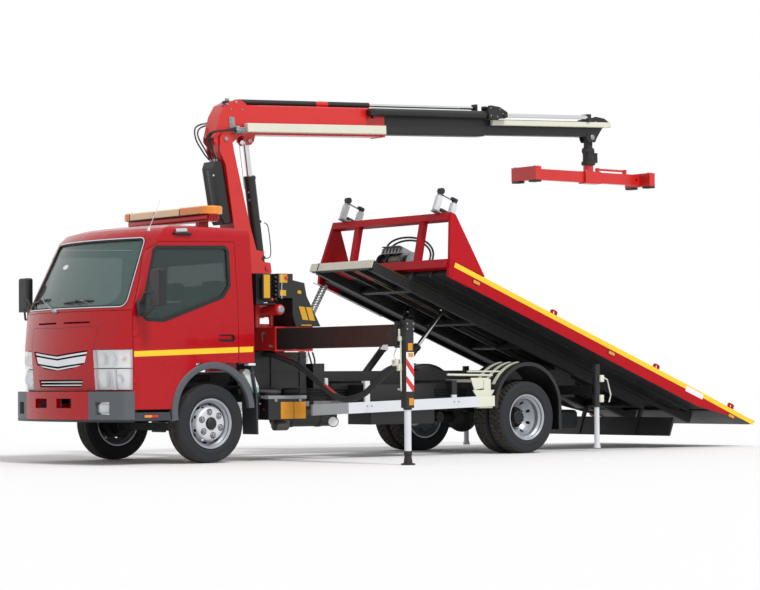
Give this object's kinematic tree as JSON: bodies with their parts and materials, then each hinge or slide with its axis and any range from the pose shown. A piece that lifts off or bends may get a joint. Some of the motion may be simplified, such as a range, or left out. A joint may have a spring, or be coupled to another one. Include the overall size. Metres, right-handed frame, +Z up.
{
  "type": "tow truck",
  "caption": "Light cab-over recovery truck with a tilting and sliding bed, a telescopic crane behind the cab, outriggers and a lifting spreader.",
  "frame": {"origin": "on the ground, in the middle of the overall length and width as stored", "axes": "+X is forward, +Y is the vehicle's left, +Z is up"},
  "size_m": [8.4299, 5.6518, 3.7633],
  "materials": {
    "cab_red": "gloss enamel",
    "crane_red": "gloss enamel",
    "chassis_black": "satin paint",
    "trim_black": "moulded plastic",
    "glass": "tinted glass",
    "lamp_clear": "clear lens over chrome",
    "amber": "amber lens",
    "tyre": "tyre rubber",
    "rim_silver": "silver paint",
    "rod_chrome": "hard chrome",
    "guard_white": "white paint",
    "tube_cream": "cream paint",
    "seat": "seat fabric",
    "galvanised": "galvanised steel",
    "iron": "cast iron"
  },
  "bodies": {
    "chassis": {"chassis_frame": "chassis_black", "engine_block": "iron", "front_axle": "iron", "rear_axle": "iron", "cab_shell": "cab_red", "front_panel": "cab_red", "cab_glass": "glass", "front_bumper": "cab_red", "headlamps": "lamp_clear", "grille": "rod_chrome", "cab_interior": "seat", "light_bar": "amber", "mudguards": "trim_black", "chassis_boxes": "chassis_black", "side_guards": "guard_white", "rear_fenders": "trim_black", "spare_wheel": "tyre", "crane_base": "crane_red", "crane_controls": "chassis_black"},
    "tilt_frame": {"tilt_frame": "chassis_black"},
    "bed": {"bed_deck": "chassis_black", "bed_sides": "cab_red", "headboard": "cab_red", "winch": "galvanised", "roller_posts": "galvanised"},
    "tilt_barrels": {"tilt_barrels": "chassis_black"},
    "tilt_rods": {"tilt_rods": "rod_chrome"},
    "column": {"crane_column": "crane_red", "hose_cover": "trim_black"},
    "lift_barrel": {"lift_barrel": "chassis_black"},
    "lift_rod": {"lift_rod": "rod_chrome"},
    "boom_outer": {"boom_outer": "crane_red", "boom_side_tube": "tube_cream"},
    "boom_middle": {"boom_middle": "chassis_black"},
    "boom_inner": {"boom_inner": "chassis_black", "boom_inner_tube": "tube_cream"},
    "hook_link": {"hook_link": "iron"},
    "spreader": {"spreader": "crane_red"},
    "left_door": {"left_door": "cab_red", "left_door_glass": "glass", "left_mirror": "trim_black"},
    "left_knuckle": {"left_knuckle": "iron"},
    "front_left_wheel": {"front_left_tyre": "tyre", "front_left_rim": "rim_silver"},
    "rear_left_wheels": {"rear_left_tyres": "tyre", "rear_left_rims": "rim_silver"},
    "left_outrigger_beam": {"left_outrigger_beam": "chassis_black"},
    "left_outrigger_leg": {"left_outrigger_leg": "guard_white"},
    "rear_left_leg": {"rear_left_leg": "guard_white"},
    "right_door": {"right_door": "cab_red", "right_door_glass": "glass", "right_mirror": "trim_black"},
    "right_knuckle": {"right_knuckle": "iron"},
    "front_right_wheel": {"front_right_tyre": "tyre", "front_right_rim": "rim_silver"},
    "rear_right_wheels": {"rear_right_tyres": "tyre", "rear_right_rims": "rim_silver"},
    "right_outrigger_beam": {"right_outrigger_beam": "chassis_black"},
    "right_outrigger_leg": {"right_outrigger_leg": "guard_white"},
    "rear_right_leg": {"rear_right_leg": "guard_white"}
  },
  "joints": [
    {"name": "bed_tilt", "type": "hinge", "parent": "chassis", "child": "tilt_frame", "pos_m": [-1.935, 0, 0.9], "axis": [0, 1, 0], "range_deg": [0, 21]},
    {"name": "bed_slide", "type": "slide", "parent": "tilt_frame", "child": "bed", "axis": [0.9336, 0, 0.3584], "range_m": [0, 1.05]},
    {"name": "tilt_cylinder_swing", "type": "hinge", "parent": "chassis", "child": "tilt_barrels", "pos_m": [0.425, 0, 0.64], "axis": [0, 1, 0], "range_deg": [-26.3, 0]},
    {"name": "tilt_cylinder_stroke", "type": "slide", "parent": "tilt_barrels", "child": "tilt_rods", "axis": [-0.6827, 0, 0.7307], "range_m": [-0.45, 0]},
    {"name": "crane_slew", "type": "hinge", "parent": "chassis", "child": "column", "pos_m": [1.995, 0, 1.625], "axis": [0, 0, 1], "range_deg": [-200, 200]},
    {"name": "boom_lift", "type": "hinge", "parent": "column", "child": "boom_outer", "pos_m": [2.275, 0, 3.19], "axis": [0, 1, 0], "range_deg": [-10, 60]},
    {"name": "lift_cylinder_swing", "type": "hinge", "parent": "column", "child": "lift_barrel", "pos_m": [1.783, 0, 1.91], "axis": [0, 1, 0], "range_deg": [-1, 4]},
    {"name": "lift_cylinder_stroke", "type": "slide", "parent": "lift_barrel", "child": "lift_rod", "axis": [0.1327, 0, 0.9912], "range_m": [-0.06, 0.32]},
    {"name": "middle_section_slide", "type": "slide", "parent": "boom_outer", "child": "boom_middle", "axis": [0.9991, 0, -0.0419], "range_m": [0, 1.35]},
    {"name": "inner_section_slide", "type": "slide", "parent": "boom_middle", "child": "boom_inner", "axis": [0.9991, 0, -0.0419], "range_m": [0, 1.2]},
    {"name": "hook_swing", "type": "hinge", "parent": "boom_inner", "child": "hook_link", "pos_m": [-2.75702, 0, 3.48598], "axis": [0, 1, 0], "range_deg": [-15, 15]},
    {"name": "spreader_turn", "type": "hinge", "parent": "hook_link", "child": "spreader", "pos_m": [-2.75702, 0, 3.1], "axis": [0, 0, 1], "range_deg": [-180, 180]},
    {"name": "left_outrigger_slide", "type": "slide", "parent": "chassis", "child": "left_outrigger_beam", "axis": [0, -1, 0], "range_m": [0, 1.45]},
    {"name": "left_outrigger_leg_lift", "type": "slide", "parent": "left_outrigger_beam", "child": "left_outrigger_leg", "axis": [0, 0, 1], "range_m": [0, 0.32]},
    {"name": "rear_left_leg_lift", "type": "slide", "parent": "chassis", "child": "rear_left_leg", "axis": [0, 0, 1], "range_m": [0, 0.26]},
    {"name": "left_door_hinge", "type": "hinge", "parent": "chassis", "child": "left_door", "pos_m": [3.885, 0.96, 0.98], "axis": [0, 0, -1], "range_deg": [0, 70]},
    {"name": "left_steering", "type": "hinge", "parent": "chassis", "child": "left_knuckle", "pos_m": [3.015, 0.69, 0.376], "axis": [0, 0, 1], "range_deg": [-36, 36]},
    {"name": "front_left_wheel_spin", "type": "hinge", "parent": "left_knuckle", "child": "front_left_wheel", "pos_m": [3.015, 0.828, 0.376], "axis": [0, 1, 0], "continuous": true},
    {"name": "rear_left_wheel_spin", "type": "hinge", "parent": "chassis", "child": "rear_left_wheels", "pos_m": [-0.865, 0.842, 0.376], "axis": [0, 1, 0], "continuous": true},
    {"name": "right_outrigger_slide", "type": "slide", "parent": "chassis", "child": "right_outrigger_beam", "axis": [0, 1, 0], "range_m": [0, 1.45]},
    {"name": "right_outrigger_leg_lift", "type": "slide", "parent": "right_outrigger_beam", "child": "right_outrigger_leg", "axis": [0, 0, 1], "range_m": [0, 0.32]},
    {"name": "rear_right_leg_lift", "type": "slide", "parent": "chassis", "child": "rear_right_leg", "axis": [0, 0, 1], "range_m": [0, 0.26]},
    {"name": "right_door_hinge", "type": "hinge", "parent": "chassis", "child": "right_door", "pos_m": [3.885, -0.96, 0.98], "axis": [0, 0, 1], "range_deg": [0, 70]},
    {"name": "right_steering", "type": "hinge", "parent": "chassis", "child": "right_knuckle", "pos_m": [3.015, -0.69, 0.376], "axis": [0, 0, 1], "range_deg": [-36, 36]},
    {"name": "front_right_wheel_spin", "type": "hinge", "parent": "right_knuckle", "child": "front_right_wheel", "pos_m": [3.015, -0.828, 0.376], "axis": [0, 1, 0], "continuous": true},
    {"name": "rear_right_wheel_spin", "type": "hinge", "parent": "chassis", "child": "rear_right_wheels", "pos_m": [-0.865, -0.842, 0.376], "axis": [0, 1, 0], "continuous": true}
  ],
  "couplings": [
    {"joint": "tilt_cylinder_swing", "follows": "bed_tilt", "ratio": -1.2244},
    {"joint": "tilt_cylinder_stroke", "follows": "bed_tilt", "m_per_rad": -1.1994},
    {"joint": "lift_cylinder_swing", "follows": "boom_lift", "ratio": 0.0575},
    {"joint": "lift_cylinder_stroke", "follows": "boom_lift", "m_per_rad": 0.2894},
    {"joint": "right_steering", "follows": "left_steering", "ratio": 1}
  ]
}
